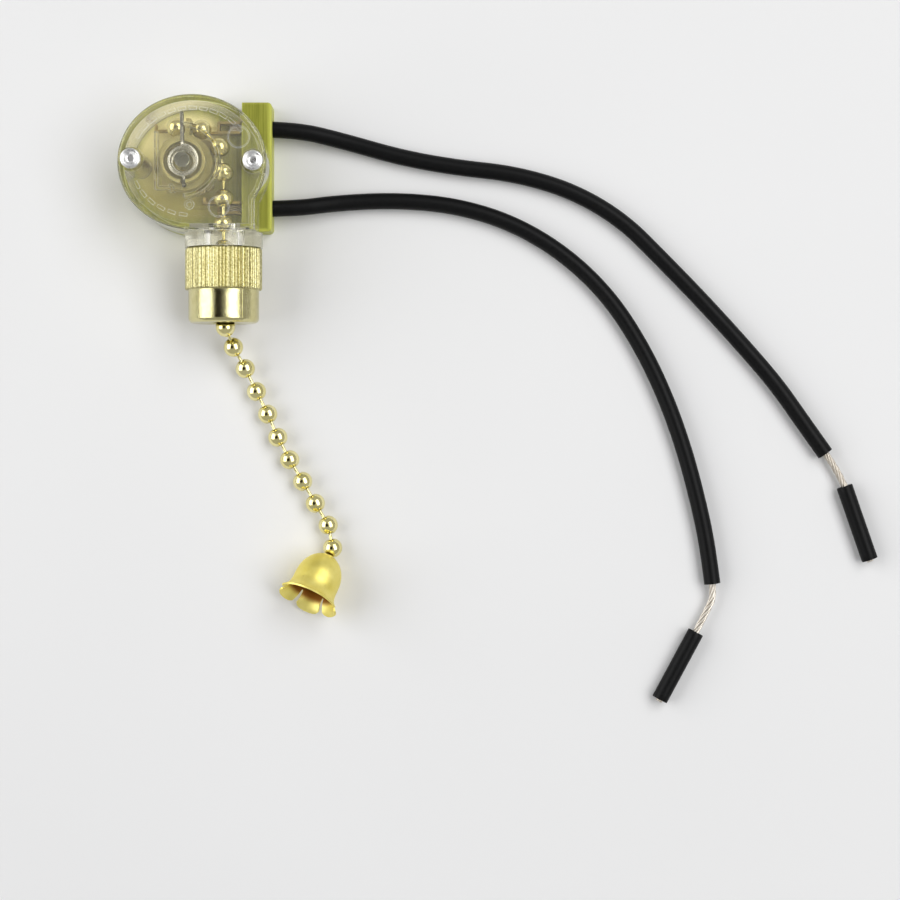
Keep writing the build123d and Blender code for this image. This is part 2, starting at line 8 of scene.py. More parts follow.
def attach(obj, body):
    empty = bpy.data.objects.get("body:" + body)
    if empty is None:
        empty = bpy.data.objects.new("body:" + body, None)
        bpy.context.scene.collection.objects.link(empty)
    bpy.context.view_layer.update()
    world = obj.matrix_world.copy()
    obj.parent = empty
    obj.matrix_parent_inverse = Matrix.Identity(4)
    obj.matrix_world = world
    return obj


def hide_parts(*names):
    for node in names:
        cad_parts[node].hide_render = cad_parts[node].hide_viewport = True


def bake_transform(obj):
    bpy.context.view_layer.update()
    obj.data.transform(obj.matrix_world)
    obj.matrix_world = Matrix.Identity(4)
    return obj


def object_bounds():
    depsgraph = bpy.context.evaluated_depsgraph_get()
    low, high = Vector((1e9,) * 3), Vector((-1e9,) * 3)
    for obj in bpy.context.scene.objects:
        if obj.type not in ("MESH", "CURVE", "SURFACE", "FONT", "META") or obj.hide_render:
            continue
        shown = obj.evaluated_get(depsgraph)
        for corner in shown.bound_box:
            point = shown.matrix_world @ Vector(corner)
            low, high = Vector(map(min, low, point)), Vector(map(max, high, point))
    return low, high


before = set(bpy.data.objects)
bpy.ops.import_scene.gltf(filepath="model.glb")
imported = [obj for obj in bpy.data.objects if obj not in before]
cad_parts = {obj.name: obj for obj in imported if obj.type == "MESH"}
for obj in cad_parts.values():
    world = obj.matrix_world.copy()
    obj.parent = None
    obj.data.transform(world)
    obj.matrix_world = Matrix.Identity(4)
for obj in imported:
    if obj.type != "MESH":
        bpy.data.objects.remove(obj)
CAD_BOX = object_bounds()

MM = 0.001
TURN = 2 * math.pi

# Camera: straight above the table
CAMERA_PLACE = (0.0432, -0.0468, 0.370)
VIEW_WIDTH = 0.150
SENSOR = 36.0

# Strength of the surroundings as a light and in reflections
WORLD_LIGHT, WORLD_SHINE = 0.30, 0.62

# Leads, in metres: the same points as the CAD leads
LEAD_R = 0.00135
CORE_R = 0.00058
TWIST = 0.0085
STRAND_STEP = 0.0004
GRIPPED_X = (0.0069, 0.0125)
SLUG_TIP = 0.00025
UPPER_ROUTE = [
    (0.0106, 0.00625, 0.0026),
    (0.0176, 0.00625, 0.0026),
    (0.0256, 0.00445, 0.0014),
    (0.0350, 0.00175, 0.0014),
    (0.0442, 0.00010, 0.0014),
    (0.0540, -0.00095, 0.0014),
    (0.0635, -0.00375, 0.0014),
    (0.0718, -0.0086, 0.0014),
    (0.0786, -0.0154, 0.0014),
    (0.0852, -0.0222, 0.0014),
    (0.0916, -0.0292, 0.0014),
    (0.0974, -0.0359, 0.0014),
    (0.1018, -0.0422, 0.0014),
    (0.1055, -0.0474, 0.0014),
]
LOWER_ROUTE = [
    (0.0106, -0.0069, 0.0026),
    (0.0172, -0.0069, 0.0026),
    (0.0250, -0.00575, 0.0014),
    (0.0344, -0.00535, 0.0014),
    (0.0440, -0.0062, 0.0014),
    (0.0534, -0.0090, 0.0014),
    (0.0622, -0.0142, 0.0014),
    (0.0696, -0.0213, 0.0014),
    (0.0750, -0.0296, 0.0014),
    (0.0790, -0.0380, 0.0014),
    (0.0822, -0.0470, 0.0014),
    (0.0846, -0.0562, 0.0014),
    (0.0860, -0.0630, 0.0014),
    (0.08675, -0.0690, 0.0014),
]
UPPER_CORE = [(0.1052, -0.04698, 0.0014), (0.1073, -0.0497, 0.0014), (0.10865, -0.05275, 0.0014)]
LOWER_CORE = [
    (0.0867, -0.0686, 0.0014),
    (0.0870, -0.0710, 0.0014),
    (0.0860, -0.0732, 0.0014),
    (0.08405, -0.07695, 0.0014),
]
UPPER_SLUG = [(0.10868, -0.05282, 0.0014), (0.1129, -0.0650, 0.0014)]
LOWER_SLUG = [(0.08402, -0.07701, 0.0014), (0.0780, -0.0882, 0.0014)]

# Driving values of the CAD, in millimetres
NECK_X, NECK_Z = 6.15, 6.42
BEAD_R, BEAD_SHELL, BEAD_HOLE_R = 1.6, 0.25, 0.62
WIRE_R, HEAD_R, HEAD_IN, HEAD_OUT = 0.27, 0.74, 0.75, 1.02
PITCH = 4.2
FIRST_INNER_Y = -1.4
INNER_COUNT = 6
DRUM_BEADS = 3
EXIT_BEAD = Vector((6.4, -26.65, 6.15))
OUTER_LINKS = [
    (18.5, -2.52, PITCH),
    (27.5, -1.48, PITCH),
    (25.5, -0.53, PITCH),
    (26.5, 0.0, PITCH),
    (23.5, 0.0, PITCH),
    (28.0, 0.0, PITCH),
    (31.0, 0.0, PITCH),
    (30.0, 0.0, PITCH),
    (30.5, 0.0, PITCH),
    (11.0, 0.0, 3.85),
]
BELL_HEADING, BELL_TILT = -25.0, 24.3
BELL_GAP, BELL_END_BEAD = 1.66, 2.35
# Base: the tan floor with painted light reaches out to BODY_FLOOR_R; the block's sides and ends, past
# BLOCK_SIDE_X and BLOCK_END_Y, carry a painted highlight.
BODY_FLOOR_R, BLOCK_SIDE_X, BLOCK_END_Y = 8.0, 13.0, 10.2
POST_R, POST_END_Z = 1.22, 5.6


# ---------------------------------------------------------------- node trees

class Tree:
    """Short hand for building one material's nodes."""

    def __init__(self, name):
        self.material = bpy.data.materials.new(name)
        self.material.use_nodes = True
        self.nodes = self.material.node_tree.nodes
        self.links = self.material.node_tree.links
        self.nodes.clear()
        self.output = self.nodes.new("ShaderNodeOutputMaterial")
        self.coords = self.nodes.new("ShaderNodeTexCoord")

    def add(self, kind, inputs=None, **settings):
        """A node with its settings and inputs; an input is a value or another node's socket."""
        node = self.nodes.new("ShaderNode" + kind)
        for key, value in settings.items():
            setattr(node, key, value)
        for key, value in (inputs or {}).items():
            if isinstance(value, bpy.types.NodeSocket):
                self.links.new(value, node.inputs[key])
            else:
                node.inputs[key].default_value = value
        return node

    def place(self, scale=(1, 1, 1), turn=(0, 0, 0)):
        """Object coordinates in millimetres, stretched and turned."""
        mapping = self.add(
            "Mapping",
            {
                "Vector": self.coords.outputs["Object"],
                "Scale": [1000 * value for value in scale],
                "Rotation": turn,
            },
        )
        return mapping.outputs["Vector"]

    def noise(self, scale, detail=3.0, stretch=(1, 1, 1), roughness=0.5, turn=(0, 0, 0)):
        """Noise with scale features per millimetre, as a number from 0 to 1."""
        node = self.add(
            "TexNoise",
            {
                "Vector": self.place(stretch, turn),
                "Scale": scale,
                "Detail": detail,
                "Roughness": roughness,
            },
        )
        return node.outputs["Fac"]

    def spread(self, value, low, high, start=0.3, end=0.7):
        """A number moved from the range start..end to low..high."""
        node = self.add(
            "MapRange",
            {"Value": value, "From Min": start, "From Max": end, "To Min": low, "To Max": high},
        )
        return node.outputs["Result"]

    def blend(self, factor, first, second, kind="MIX"):
        """Two colours mixed by a factor."""
        node = self.add("Mix", data_type="RGBA", blend_type=kind)
        values = ((0, factor), (6, first), (7, second))
        for index, value in values:
            if isinstance(value, bpy.types.NodeSocket):
                self.links.new(value, node.inputs[index])
            elif index == 0:
                node.inputs[index].default_value = value
            else:
                node.inputs[index].default_value = (*value, 1.0)
        return node.outputs[2]

    def bump(self, height, distance, strength=1.0, normal=None):
        """A bump whose full height is distance millimetres."""
        inputs = {"Height": height, "Distance": distance * MM, "Strength": strength}
        if normal is not None:
            inputs["Normal"] = normal
        return self.add("Bump", inputs).outputs["Normal"]

    def edges(self, radius, start=0.75, end=0.985):
        """1 on convex or concave edges within a radius in millimetres, 0 away from them."""
        rounded = self.add("Bevel", {"Radius": radius * MM}, samples=4).outputs["Normal"]
        plain = self.add("NewGeometry").outputs["Normal"]
        dot = self.add("VectorMath", {0: rounded, 1: plain}, operation="DOT_PRODUCT")
        return self.spread(dot.outputs["Value"], 1.0, 0.0, start, end)

    def principled(self, **values):
        """The surface shader, joined to the output."""
        shader = self.nodes.new("ShaderNodeBsdfPrincipled")
        for key, value in values.items():
            socket = shader.inputs[key.replace("_", " ")]
            if isinstance(value, bpy.types.NodeSocket):
                self.links.new(value, socket)
            elif isinstance(value, tuple) and socket.type == "RGBA":
                socket.default_value = (*value, 1.0)
            else:
                socket.default_value = value
        self.links.new(shader.outputs["BSDF"], self.output.inputs["Surface"])
        return shader


def clear_plastic():
    """Clear cover: faint flow ripples, painted highlights that whiten its edges, a frosted end on the
    drum's post.
    """
    tree = Tree("clear_plastic")
    flow = tree.noise(0.22, 2.0, (1, 0.6, 1))
    haze = tree.noise(0.35, 3.0)
    place = tree.add("SeparateXYZ", {"Vector": tree.place()})
    radial = tree.add("VectorMath", {0: tree.place((1, 1, 0))}, operation="LENGTH")
    near_axis = tree.spread(radial.outputs["Value"], 1.0, 0.0, POST_R, POST_R + 0.04)
    low = tree.spread(place.outputs["Z"], 1.0, 0.0, POST_END_Z, POST_END_Z + 0.2)
    post_end = tree.add("Math", {0: near_axis, 1: low}, operation="MULTIPLY").outputs["Value"]
    # Painted highlight: the edges are made whiter, rougher and less clear, standing in for light caught on
    # their small radii.
    painted_edge_highlight = tree.edges(0.16, 0.62, 0.97)
    highlight_and_frosted_end = tree.add("Math", {0: painted_edge_highlight, 1: post_end}, operation="MAXIMUM").outputs["Value"]
    body = tree.blend(haze, (0.93, 0.91, 0.80), (0.965, 0.95, 0.88))
    shader = tree.principled(
        Base_Color=tree.blend(highlight_and_frosted_end, body, (0.96, 0.96, 0.91)),
        Roughness=tree.spread(highlight_and_frosted_end, 0.025, 0.38, 0.0, 1.0),
        Transmission_Weight=tree.spread(highlight_and_frosted_end, 0.95, 0.2, 0.0, 1.0),
        IOR=1.5,
        Normal=tree.bump(flow, 0.02),
    )
    lit = tree.add("BsdfTransparent", {"Color": (0.66, 0.66, 0.58, 1)})
    rays = tree.add("LightPath")
    mixed = tree.add("MixShader")
    tree.links.new(rays.outputs["Is Shadow Ray"], mixed.inputs[0])
    tree.links.new(shader.outputs["BSDF"], mixed.inputs[1])
    tree.links.new(lit.outputs["BSDF"], mixed.inputs[2])
    tree.links.new(mixed.outputs["Shader"], tree.output.inputs["Surface"])
    return tree.material


def green_plastic():
    """Olive moulded plastic: upright flow streaks, cloudy tone, painted highlights on its edges, sides and
    ends, a tan floor round the drum with painted light.
    """
    tree = Tree("green_plastic")
    streaks = tree.noise(2.4, 5.0, (1, 0.03, 0.3), 0.65)
    clouds = tree.noise(0.12, 3.0)
    grain = tree.noise(9.0, 3.0)
    body = tree.blend(tree.spread(streaks, 0, 1, 0.36, 0.66), (0.165, 0.175, 0.010), (0.35, 0.36, 0.050))
    body = tree.blend(tree.spread(clouds, 0, 0.55, 0.4, 0.7), body, (0.25, 0.255, 0.030))
    place = tree.add("SeparateXYZ", {"Vector": tree.place()})
    radial = tree.add("VectorMath", {0: tree.place((1, 1, 0))}, operation="LENGTH")
    # Tan floor round the drum with painted light: cream towards the top and the left, darker towards the
    # bottom and the right.
    tan_floor_painted_light = tree.blend(
        tree.spread(place.outputs["Y"], 0, 1, -5.0, 6.0), (0.35, 0.31, 0.09), (0.98, 0.90, 0.52)
    )
    tan_floor_share = tree.spread(radial.outputs["Value"], 1, 0, BODY_FLOOR_R, BODY_FLOOR_R + 1.6)
    lighter_on_left = tree.spread(place.outputs["X"], 1, 0.25, 3.5, 6.5)
    tan_floor_share = tree.add("Math", {0: tan_floor_share, 1: lighter_on_left}, operation="MULTIPLY").outputs["Value"]
    body = tree.blend(tan_floor_share, body, tan_floor_painted_light)
    # Painted highlight: the block's right side, its ends and its rounded edges turn pale yellow as if lit.
    side = tree.spread(place.outputs["X"], 0, 1, BLOCK_SIDE_X, BLOCK_SIDE_X + 0.8)
    ends = tree.add("Math", {0: place.outputs["Y"]}, operation="ABSOLUTE").outputs["Value"]
    ends = tree.spread(ends, 0, 1, BLOCK_END_Y, BLOCK_END_Y + 0.7)
    rim = tree.add("Math", {0: side, 1: ends}, operation="MAXIMUM").outputs["Value"]
    lighter_edge = tree.edges(0.5, 0.80, 0.998)
    rim = tree.add("Math", {0: rim, 1: lighter_edge}, operation="MAXIMUM").outputs["Value"]
    body = tree.blend(rim, body, (0.56, 0.58, 0.10))
    height = tree.blend(0.5, tree.spread(streaks, 0, 1), tree.spread(grain, 0, 1))
    tree.principled(
        Base_Color=body,
        Roughness=tree.spread(grain, 0.34, 0.5),
        Subsurface_Weight=0.12,
        Subsurface_Radius=(0.9, 0.9, 0.25),
        Subsurface_Scale=0.001,
        Normal=tree.bump(height, 0.02),
        IOR=1.5,
        Specular_IOR_Level=0.3,
    )
    return tree.material


def metal(name, dark, light, roughness, fine=6.0, depth=0.006, stretch=(1, 1, 1), mottle=0.35):
    """Plated metal with uneven tone, polish and fine surface marks."""
    tree = Tree(name)
    tone = tree.noise(mottle, 4.0, stretch, 0.6)
    marks = tree.noise(fine, 5.0, stretch, 0.65)
    polish = tree.noise(1.3, 4.0, stretch)
    tree.principled(
        Base_Color=tree.blend(tree.spread(tone, 0, 1), dark, light),
        Metallic=1.0,
        Roughness=tree.spread(polish, roughness * 0.75, roughness * 1.35),
        Normal=tree.bump(marks, depth),
    )
    return tree.material


def spring_wire():
    """Spring steel, bright on the coil and darker on the legs."""
    tree = Tree("spring_steel")
    radial = tree.add("VectorMath", {0: tree.place((1, 1, 0))}, operation="LENGTH")
    leg = tree.spread(radial.outputs["Value"], 0, 1, 2.7, 3.0)
    marks = tree.noise(8.0, 5.0)
    coil = tree.blend(tree.spread(marks, 0, 1), (0.62, 0.61, 0.60), (0.84, 0.83, 0.82))
    tree.principled(
        Base_Color=tree.blend(leg, coil, (0.17, 0.165, 0.15)),
        Metallic=1.0,
        Roughness=tree.spread(marks, 0.2, 0.3),
        Normal=tree.bump(marks, 0.003),
    )
    return tree.material


def nut_brass():
    """Polished brass plate with a duller, speckled knurl."""
    tree = Tree("brass_plate")
    place = tree.add("SeparateXYZ", {"Vector": tree.place()})
    knurl = tree.spread(place.outputs["Y"], 0, 1, -20.75, -20.6)
    tone = tree.noise(0.8, 4.0, (1, 1, 1), 0.6)
    speckle = tree.noise(3.2, 3.0, (1, 1, 1), 0.7)
    marks = tree.noise(3.0, 5.0, (1, 1, 1), 0.65)
    smooth = tree.blend(tree.spread(tone, 0, 1), (0.58, 0.53, 0.25), (0.70, 0.65, 0.35))
    rough = tree.blend(tree.spread(speckle, 0, 1, 0.38, 0.62), (0.36, 0.32, 0.12), (0.76, 0.71, 0.38))
    uneven = tree.blend(knurl, tree.spread(marks, 0, 0.4), tree.spread(speckle, 0, 1))
    tree.principled(
        Base_Color=tree.blend(knurl, smooth, rough),
        Metallic=1.0,
        Roughness=tree.spread(knurl, 0.14, 0.32, 0.0, 1.0),
        Normal=tree.bump(uneven, 0.03),
    )
    return tree.material


def bell_gold():
    """Satin gold lacquer, uneven in tone, with painted shade inside the bell: deep orange and less
    metallic.
    """
    tree = Tree("bell_gold")
    tone = tree.noise(0.25, 4.0, (1, 1, 1), 0.6)
    marks = tree.noise(6.0, 5.0)
    body = tree.blend(tree.spread(tone, 0, 1), (0.84, 0.71, 0.15), (0.95, 0.85, 0.30))
    # Painted shade: the inner surface turns deep orange and less metallic, standing in for shade and
    # inter-reflection in the hollow.
    inside = tree.add("Attribute", attribute_name="inside").outputs["Fac"]
    tree.principled(
        Base_Color=tree.blend(inside, body, (0.38, 0.15, 0.010)),
        Metallic=tree.spread(inside, 1.0, 0.35, 0.0, 1.0),
        Roughness=tree.spread(tone, 0.42, 0.56),
        Normal=tree.bump(marks, 0.003),
    )
    return tree.material


def plastic(name, dark, light, roughness, subsurface=0.0, depth=0.01):
    """Moulded plastic with cloudy tone, fine grain and lighter edges."""
    tree = Tree(name)
    clouds = tree.noise(0.35, 4.0)
    grain = tree.noise(7.0, 4.0)
    lighter_edge = tuple(min(1.0, value * 1.25 + 0.01) for value in light)
    body = tree.blend(tree.spread(clouds, 0, 1), dark, light)
    tree.principled(
        Base_Color=tree.blend(tree.edges(0.15), body, lighter_edge),
        Roughness=tree.spread(grain, roughness * 0.8, roughness * 1.2),
        Subsurface_Weight=subsurface,
        Subsurface_Radius=(1.0, 0.8, 0.5),
        Subsurface_Scale=0.001,
        Normal=tree.bump(grain, depth),
    )
    return tree.material


def black_pvc():
    """Black PVC insulation: satin skin with fine drag marks and pale dust specks."""
    tree = Tree("black_pvc")
    skin = tree.noise(2.2, 4.0, (1, 1, 1), 0.6)
    fine = tree.noise(14.0, 3.0)
    dust = tree.noise(5.0, 2.0, (1, 1, 1), 0.4)
    body = tree.blend(tree.spread(skin, 0, 1), (0.0018, 0.0019, 0.0020), (0.0040, 0.0041, 0.0043))
    body = tree.blend(tree.spread(dust, 0, 0.35, 0.7, 0.8), body, (0.025, 0.025, 0.026))
    tree.principled(
        Base_Color=body,
        Roughness=tree.spread(skin, 0.36, 0.52),
        Normal=tree.bump(tree.blend(0.4, fine, skin), 0.012),
        Specular_IOR_Level=0.14,
    )
    return tree.material


def table_top():
    """Plain pale table."""
    tree = Tree("table_top")
    faint = tree.noise(0.01, 2.0)
    tree.principled(
        Base_Color=tree.blend(tree.spread(faint, 0, 1), (0.80, 0.80, 0.80), (0.82, 0.82, 0.82)),
        Roughness=0.7,
        Specular_IOR_Level=0.2,
    )
    return tree.material


# ---------------------------------------------------------------- mesh tools

def merged(shapes):
    """Several (points, faces) as one."""
    points, faces = [], []
    for some_points, some_faces in shapes:
        start = len(points)
        points += some_points
        faces += [[start + index for index in face] for face in some_faces]
    return points, faces


def moved(shape, matrix):
    """A shape moved by a matrix."""
    points, faces = shape
    return [matrix @ point for point in points], faces


def facing(origin, direction):
    """A matrix that puts the origin at a point and +Z along a direction."""
    turn = Vector(direction).to_track_quat("Z", "Y").to_matrix().to_4x4()
    return Matrix.Translation(Vector(origin)) @ turn


def stitched(rings, closed):
    """Faces between rings of point indices; a ring of one repeated index is a pole."""
    faces = []
    pairs = list(zip(rings, rings[1:] + rings[:1] if closed else rings[1:]))
    for lower, upper in pairs:
        count = len(lower)
        for index in range(count):
            after = (index + 1) % count
            face = [lower[index], lower[after], upper[after], upper[index]]
            face = [value for place, value in enumerate(face) if value not in face[:place]]
            if len(face) > 2:
                faces.append(face)
    return faces


def turned(profile, count, closed=False, radius_at=None):
    """A profile of (radius, height) turned about Z, closed into a ring or ended by poles."""
    points, rings = [], []
    for radius, height in profile:
        if radius == 0:
            rings.append([len(points)] * count)
            points.append(Vector((0, 0, height)))
            continue
        ring = []
        for index in range(count):
            angle = TURN * index / count
            here = radius_at(radius, height, angle) if radius_at else radius
            ring.append(len(points))
            points.append(Vector((here * math.cos(angle), here * math.sin(angle), height)))
        rings.append(ring)
    return points, stitched(rings, closed)


def tube(path, radius, count=12):
    """A round tube along points, its ends closed by low domes."""
    path = [Vector(point) for point in path]
    points, rings = [], []
    across = None
    for index, place in enumerate(path):
        before, after = path[max(index - 1, 0)], path[min(index + 1, len(path) - 1)]
        along = (after - before).normalized()
        if across is None:
            across = along.orthogonal().normalized()
        across = (across - along * across.dot(along)).normalized()
        side = along.cross(across)
        steps = [(radius, 0.0)]
        if index == 0:
            steps = [(0, -0.5), (radius * 0.6, -0.4), (radius, 0.0)]
        if index == len(path) - 1:
            steps = [(radius, 0.0), (radius * 0.6, 0.4), (0, 0.5)]
        for width, forward in steps:
            centre = place + along * forward * radius
            if width == 0:
                rings.append([len(points)] * count)
                points.append(centre)
                continue
            ring = []
            for step in range(count):
                angle = TURN * step / count
                ring.append(len(points))
                points.append(centre + width * (math.cos(angle) * across + math.sin(angle) * side))
            rings.append(ring)
    return points, stitched(rings, False)


def arc(centre_r, centre_h, radius, start, end, steps):
    """Profile points on an arc, with angles in degrees from the radial direction."""
    points = []
    for index in range(steps + 1):
        angle = math.radians(start + (end - start) * index / steps)
        points.append((centre_r + radius * math.cos(angle), centre_h + radius * math.sin(angle)))
    return points


def spline(points, steps):
    """A smooth Catmull-Rom line through points, with steps pieces between each pair."""
    points = [Vector(point) for point in points]
    padded = [2 * points[0] - points[1]] + points + [2 * points[-1] - points[-2]]
    result = []
    for a, b, c, d in zip(padded, padded[1:], padded[2:], padded[3:]):
        for step in range(steps):
            t = step / steps
            result.append(
                0.5 * (2 * b + (c - a) * t + (2 * a - 5 * b + 4 * c - d) * t * t
                       + (3 * b - a - 3 * c + d) * t * t * t)
            )
    result.append(points[-1])
    return result


def make(name, shape, material, body, replaced, scale=MM, sharp=None):
    """A piece with its material, its body, if it rides on one, and the CAD nodes it stands for."""
    points, faces = shape
    mesh = bpy.data.meshes.new(name)
    mesh.from_pydata([tuple(point * scale) for point in points], [], faces)
    work = bmesh.new()
    work.from_mesh(mesh)
    bmesh.ops.recalc_face_normals(work, faces=work.faces)
    work.to_mesh(mesh)
    work.free()
    mesh.shade_smooth()
    if sharp:
        mesh.set_sharp_from_angle(angle=math.radians(sharp))
    mesh.materials.append(material)
    piece = bpy.data.objects.new(name, mesh)
    bpy.context.scene.collection.objects.link(piece)
    if body:
        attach(piece, body)
    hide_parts(*replaced)
    return piece


def paint(node, material):
    """A CAD node's object takes a material."""
    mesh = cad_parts[node].data
    mesh.materials.clear()
    mesh.materials.append(material)


# ---------------------------------------------------------------- camera and light

def add_camera():
    """The camera, looking straight down at the table."""
    data = bpy.data.cameras.new("camera")
    data.sensor_width = SENSOR
    data.lens = SENSOR * CAMERA_PLACE[2] / VIEW_WIDTH
    data.clip_start = 0.01
    camera = bpy.data.objects.new("camera", data)
    camera.location = CAMERA_PLACE
    bpy.context.scene.collection.objects.link(camera)
    bpy.context.scene.camera = camera


def add_softbox(name, place, target, width, height, watts):
    """A soft rectangular light aimed at a point."""
    data = bpy.data.lights.new(name, "AREA")
    data.shape = "RECTANGLE"
    data.size, data.size_y = width, height
    data.energy = watts
    light = bpy.data.objects.new(name, data)
    light.location = place
    light.rotation_euler = (Vector(target) - Vector(place)).to_track_quat("-Z", "Y").to_euler()
    bpy.context.scene.collection.objects.link(light)


def add_world():
    """Even pale surroundings with a darker opening overhead, brighter in reflections than as a light."""
    world = bpy.data.worlds.new("studio")
    world.use_nodes = True
    nodes, links = world.node_tree.nodes, world.node_tree.links
    background = nodes["Background"]
    coords = nodes.new("ShaderNodeTexCoord")
    opening = nodes.new("ShaderNodeVectorMath")
    opening.operation = "DISTANCE"
    opening.inputs[1].default_value = (-0.24, 0.0, 0.95)
    links.new(coords.outputs["Generated"], opening.inputs[0])
    ramp = nodes.new("ShaderNodeValToRGB")
    ramp.color_ramp.elements[0].position = 0.26
    ramp.color_ramp.elements[0].color = (0.035, 0.028, 0.022, 1)
    ramp.color_ramp.elements[1].position = 0.42
    ramp.color_ramp.elements[1].color = (0.72, 0.72, 0.73, 1)
    links.new(opening.outputs["Value"], ramp.inputs["Fac"])
    links.new(ramp.outputs["Color"], background.inputs["Color"])
    rays = nodes.new("ShaderNodeLightPath")
    strength = nodes.new("ShaderNodeMapRange")
    strength.inputs["To Min"].default_value = WORLD_LIGHT
    strength.inputs["To Max"].default_value = WORLD_SHINE
    links.new(rays.outputs["Is Glossy Ray"], strength.inputs["Value"])
    links.new(strength.outputs["Result"], background.inputs["Strength"])
    bpy.context.scene.world = world


def add_stage():
    """The table and the lights."""
    size = 2.5
    mesh = bpy.data.meshes.new("table")
    low = CAD_BOX[0][2] - 0.00002
    corners = [(-size, -size, low), (size, -size, low), (size, size, low), (-size, size, low)]
    mesh.from_pydata(corners, [], [(0, 1, 2, 3)])
    mesh.materials.append(table_top())
    table = bpy.data.objects.new("table", mesh)
    bpy.context.scene.collection.objects.link(table)
    add_world()
    target = (0.03, -0.03, 0)
    add_softbox("left_softbox", (-0.73, 0.10, 0.53), target, 1.0, 0.75, 6.0)
    add_softbox("right_softbox", (0.54, 0.15, 0.80), target, 1.2, 0.55, 7.7)


# ---------------------------------------------------------------- leads

def nurbs(name, route, radius):
    """A NURBS curve in metres with a round bevel."""
    data = bpy.data.curves.new(name, "CURVE")
    data.dimensions = "3D"
    line = data.splines.new("NURBS")
    line.points.add(len(route) - 1)
    for point, place in zip(line.points, route):
        point.co = (*place, 1.0)
    line.order_u = 3
    line.use_endpoint_u = True
    line.resolution_u = 14
    data.bevel_depth = radius
    data.bevel_resolution = 10
    data.use_fill_caps = radius > 0
    curve = bpy.data.objects.new(name, data)
    bpy.context.scene.collection.objects.link(curve)
    return curve


def line_points(route):
    """Points along a route's NURBS line."""
    curve = nurbs("route_line", route, 0)
    mesh = bpy.data.meshes.new_from_object(curve)
    points = [vertex.co.copy() for vertex in mesh.vertices]
    bpy.data.objects.remove(curve)
    bpy.data.meshes.remove(mesh)
    return points


def strands(path, first_turn):
    """Seven tinned strands twisted along points in metres."""
    strand_r = CORE_R / 3
    shapes = []
    for strand in range(7):
        away = 0 if strand == 0 else 2 * strand_r
        travelled = 0.0
        line = []
        across = None
        for index, place in enumerate(path):
            before, after = path[max(index - 1, 0)], path[min(index + 1, len(path) - 1)]
            along = (after - before).normalized()
            if index:
                travelled += (place - path[index - 1]).length
            across = along.orthogonal() if across is None else across
            across = (across - along * across.dot(along)).normalized()
            side = along.cross(across)
            angle = first_turn + TURN * (strand / 6 + travelled / TWIST)
            line.append(place + away * (math.cos(angle) * across + math.sin(angle) * side))
        shapes.append(tube(line, strand_r, 10))
    return merged(shapes)


def split_line(start, end, step):
    """Even points on a straight line."""
    start, end = Vector(start), Vector(end)
    count = max(2, int((end - start).length / step))
    return [start.lerp(end, index / count) for index in range(count + 1)]


def slug_shape(length):
    """The piece of insulation left on the end: a short hose with softly cut rims."""
    outer, inner, soft = LEAD_R, CORE_R + 0.00004, 0.00009
    profile = [
        (inner, 0.00012),
        (inner + 0.0001, 0.0),
        (outer - soft, 0.0),
        (outer - soft * 0.3, soft * 0.3),
        (outer, soft),
    ]
    for index in range(1, 12):
        profile.append((outer, soft + (length - 2 * soft) * index / 12))
    profile += [
        (outer, length - soft),
        (outer - soft * 0.3, length - soft * 0.3),
        (outer - soft, length),
        (inner + 0.0001, length),
        (inner, length - 0.00012),
    ]
    return turned(profile, 48, closed=True)


def add_leads(pvc, copper):
    """Both leads with their bare strands and slugs."""
    leads = (
        ("upper", UPPER_ROUTE, UPPER_CORE, UPPER_SLUG),
        ("lower", LOWER_ROUTE, LOWER_CORE, LOWER_SLUG),
    )
    for name, route, core, slug in leads:
        insulation = nurbs(name + "_lead", route, LEAD_R)
        insulation.data.materials.append(pvc)
        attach(insulation, "root")
        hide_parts(name + "_lead_insulation")
        start, end = Vector(slug[0]), Vector(slug[1])
        bare = line_points(core)
        tip = end + (end - start).normalized() * SLUG_TIP
        inside = [(place, route[0][1], route[0][2]) for place in GRIPPED_X]
        shape = merged(
            [
                strands(split_line(*inside, STRAND_STEP), 0.3),
                strands(bare + split_line(start, tip, STRAND_STEP), 0.9),
            ]
        )
        wires = make(
            name + "_strands", shape, copper, "root",
            [name + "_lead_conductor"], scale=1.0,
        )
        hose = moved(slug_shape((end - start).length), facing(start, end - start))
        end_piece = make(
            name + "_slug", hose, pvc, "root", [name + "_lead_slug"],
            scale=1.0, sharp=50,
        )


# ---------------------------------------------------------------- chain

def bead_shape(centre, towards):
    """Hollow stamped ball; its one or two holes face the given directions and have turned-in rims."""
    rim = math.degrees(math.asin(BEAD_HOLE_R / BEAD_R))
    two = len(towards) == 2
    bottom = -90 + (rim if two else 0)
    inner_r = BEAD_R - BEAD_SHELL
    outer = arc(0, 0, BEAD_R, 90 - rim - 7, bottom + (7 if two else 0), 34)
    hole = BEAD_HOLE_R
    lip_top = [
        (hole + 0.02, inner_r - 0.17),
        (hole, inner_r),
        (hole + 0.05, inner_r + 0.09),
    ]
    profile = list(lip_top) + outer
    if two:
        profile += [(radius, -height) for radius, height in reversed(lip_top)]
        profile += arc(0, 0, inner_r, -90 + rim + 8, 90 - rim - 8, 16)
    else:
        profile[-1] = (0, -BEAD_R)
        profile += [(0, -inner_r)]
        profile += arc(0, 0, inner_r, -80, 90 - rim - 8, 16)
    first = towards[0].normalized()
    second = towards[1].normalized() if two else -first
    middle = (first - second).normalized()
    points, faces = turned(profile, 40, closed=True)
    base = facing((0, 0, 0), middle)
    to_first = middle.rotation_difference(first)
    to_second = (-middle).rotation_difference(second)
    placed = []
    for point in points:
        lift = max(-1.0, min(1.0, point.z / BEAD_R * 1.15))
        share = abs(lift) ** 1.5
        turn = Quaternion().slerp(to_first if lift > 0 else to_second, share)
        placed.append(turn @ (base @ point) + centre)
    return placed, faces


